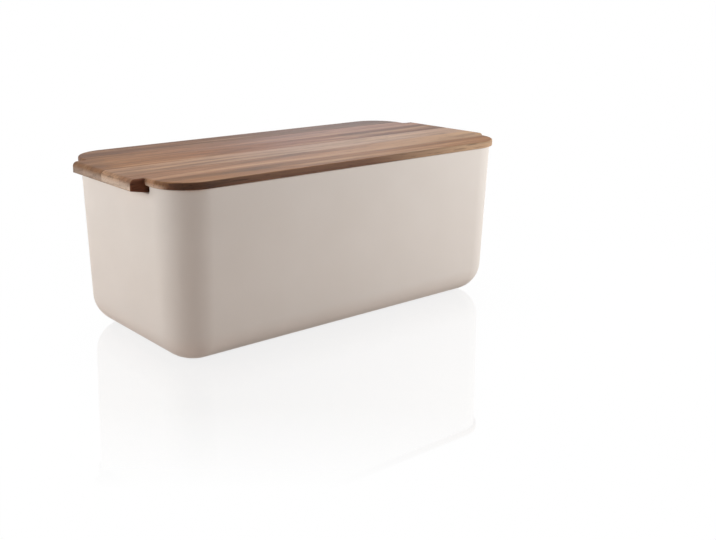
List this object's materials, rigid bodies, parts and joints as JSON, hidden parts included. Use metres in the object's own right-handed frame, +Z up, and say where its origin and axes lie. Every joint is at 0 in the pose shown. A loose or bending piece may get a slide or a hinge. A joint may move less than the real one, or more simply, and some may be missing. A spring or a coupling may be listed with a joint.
{
  "type": "bread box",
  "caption": "Low rounded bread box: a drafted plastic tub with a lift-off hardwood board lid whose grip tabs pass through notches in the end walls.",
  "frame": {"origin": "centre of the footprint, on the surface that the feet stand on", "axes": "+X along the box's long side, -Y the front long wall, +Z up through the lid"},
  "size_m": [0.3872, 0.1784, 0.1488],
  "materials": {
    "tub_plastic": "moulded, fine matt",
    "acacia_dark": "oiled",
    "acacia_light": "oiled",
    "acacia_tan": "oiled",
    "foot_silicone": "matt"
  },
  "bodies": {
    "box": {"tub": "tub_plastic", "foot_front_left": "foot_silicone", "foot_front_right": "foot_silicone", "foot_back_left": "foot_silicone", "foot_back_right": "foot_silicone"},
    "lid": {"lid_stave_1": "acacia_dark", "lid_stave_2": "acacia_dark", "lid_stave_3": "acacia_light", "lid_stave_4": "acacia_light", "lid_stave_5": "acacia_tan", "lid_stave_6": "acacia_dark"}
  },
  "joints": [
    {"name": "lid_lift", "type": "slide", "parent": "box", "child": "lid", "axis": [0, 0, 1], "range_m": [0, 0.18]}
  ]
}
